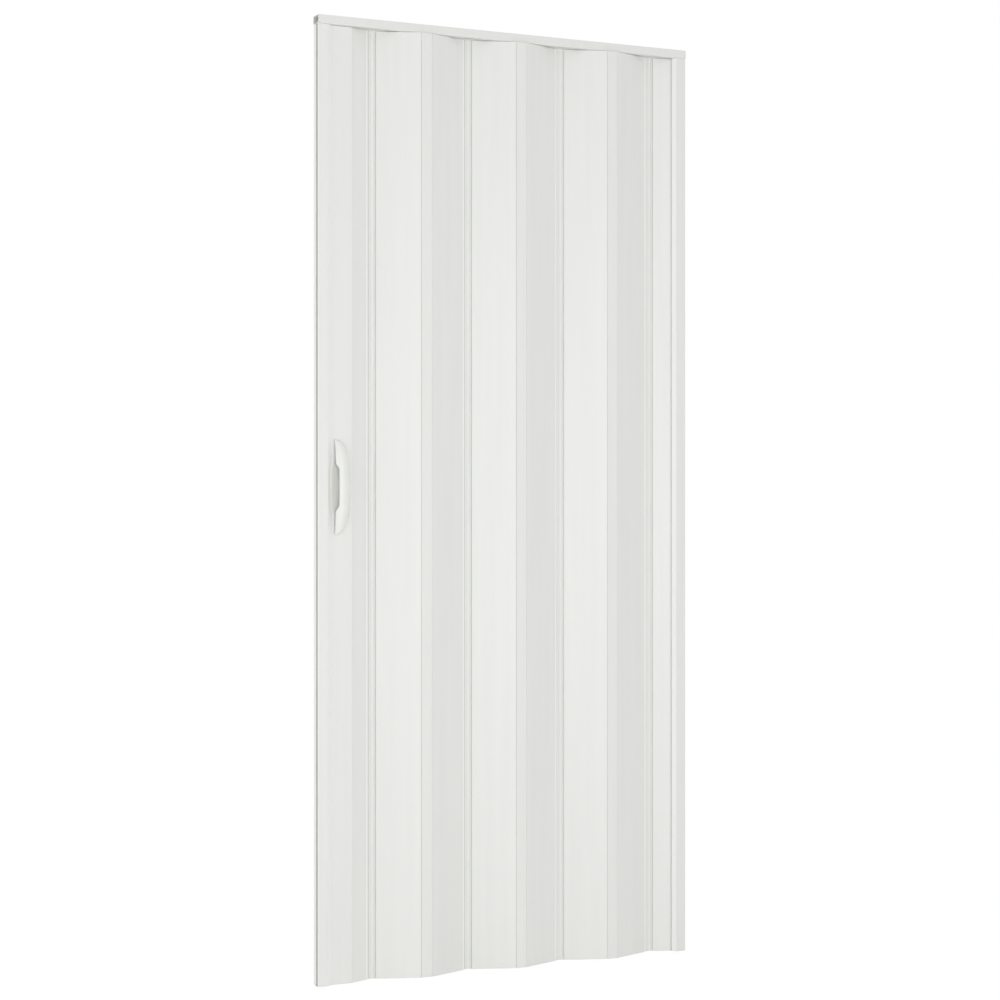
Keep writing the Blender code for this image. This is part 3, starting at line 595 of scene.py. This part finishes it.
def mark_valley_seam_shade(look):
    """Valley strips marked along their left edge, where painted shade darkens the seam beside the slat.

    Behind the rail they reach a little higher, which hides the air between rail and strip.
    """
    behind_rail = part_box("head_rail")[1][1] + RAIL_CLEARANCE
    for name in nodes_from("valley_joint"):
        bm, left, front = strip_copy(name)
        seam_start, seam_end = left + VALLEY_SEAM_START, left + VALLEY_SEAM_END
        for cut in (seam_end, seam_end + VALLEY_SEAM_FADE):
            geometry = [*bm.verts, *bm.edges, *bm.faces]
            bmesh.ops.bisect_plane(bm, geom=geometry, plane_co=(cut, 0, 0), plane_no=(1, 0, 0))
        bmesh.ops.triangulate(bm, faces=bm.faces)
        in_painted_seam_shade = bm.verts.layers.float.new(SEAM_SHADE_MARK)
        top = max(v.co.z for v in bm.verts)
        for vert in bm.verts:
            x, y, z = vert.co
            vert[in_painted_seam_shade] = seam_start < x < seam_end + HAIR and y < front + VALLEY_SEAM_DEPTH
            if y > behind_rail and z > top - HAIR:
                vert.co.z += STRIP_RISE
        put_strip(name, bm, look)


def eye_share(tree):
    """One for the camera's rays and for what they meet by reflection or through glass, else nothing."""
    rays = node(tree, "ShaderNodeLightPath")
    share = rays.outputs["Is Camera Ray"]
    for other in ("Is Glossy Ray", "Is Transmission Ray"):
        most = node(tree, "ShaderNodeMath", operation="MAXIMUM")
        tree.links.new(share, most.inputs[0])
        tree.links.new(rays.outputs[other], most.inputs[1])
        share = most.outputs["Value"]
    return share


def mix_shaders(tree, share, first, second, out):
    """Sends a mix of two shaders to the output, with this share of the second."""
    mixed = node(tree, "ShaderNodeMixShader")
    tree.links.new(share, mixed.inputs["Fac"])
    tree.links.new(first, mixed.inputs[1])
    tree.links.new(second, mixed.inputs[2])
    tree.links.new(mixed.outputs["Shader"], out.inputs["Surface"])


def white_for_the_eye(name, grey, roughness, kept_shadow):
    """Shows white to the eye, with a share of the shadow left, and lights the door as this grey."""
    made, tree, shader = new_material(name)
    cloud = streaks(tree, stretch=(1, 1, 1), scale=2, detail=2)
    colour_from(tree, shader, cloud, [grey * 0.99] * 3, [grey] * 3)
    shader.inputs["Roughness"].default_value = roughness
    share = node(tree, "ShaderNodeMath", operation="MULTIPLY")
    share.inputs[1].default_value = 1 - kept_shadow
    tree.links.new(eye_share(tree), share.inputs[0])
    white = node(tree, "ShaderNodeEmission")
    white.inputs["Strength"].default_value = FLOOR_WHITE
    out = tree.nodes["Material Output"]
    mix_shaders(tree, share.outputs["Value"], shader.outputs["BSDF"], white.outputs["Emission"], out)
    return made


def lay_floor():
    bm = bmesh.new()
    bmesh.ops.create_grid(bm, x_segments=1, y_segments=1, size=FLOOR_HALF_SIDE)
    bmesh.ops.translate(bm, verts=bm.verts, vec=(0, 0, FLOOR_LEVEL))
    look = white_for_the_eye("pale_floor", grey=0.92, roughness=0.9, kept_shadow=0.15)
    add_piece("floor", bm, look)


def white_background(tree, strength):
    made = node(tree, "ShaderNodeBackground")
    made.inputs["Strength"].default_value = strength
    made.inputs["Color"].default_value = (1, 1, 1, 1)
    return made.outputs["Background"]


def whiten_room():
    """Makes the room white to the eye, while it lights the door at a lower level."""
    world = bpy.context.scene.world or bpy.data.worlds.new("studio")
    bpy.context.scene.world = world
    world.use_nodes = True
    tree = world.node_tree
    tree.nodes.clear()
    felt = white_background(tree, ROOM_LIGHT)
    seen = white_background(tree, 1)
    out = node(tree, "ShaderNodeOutputWorld")
    mix_shaders(tree, eye_share(tree), felt, seen, out)


def hang_lamps():
    for name, place, watts in LAMPS:
        data = bpy.data.lights.new(name, "AREA")
        data.shape = "RECTANGLE"
        data.size, data.size_y = LAMP_SIZE
        data.energy = watts
        lamp = bpy.data.objects.new(name, data)
        bpy.context.scene.collection.objects.link(lamp)
        aim(lamp, place, LAMP_TARGET)


set_up_camera()
dress_door()
lay_floor()
whiten_room()
hang_lamps()
bpy.context.scene.view_settings.view_transform = "Standard"
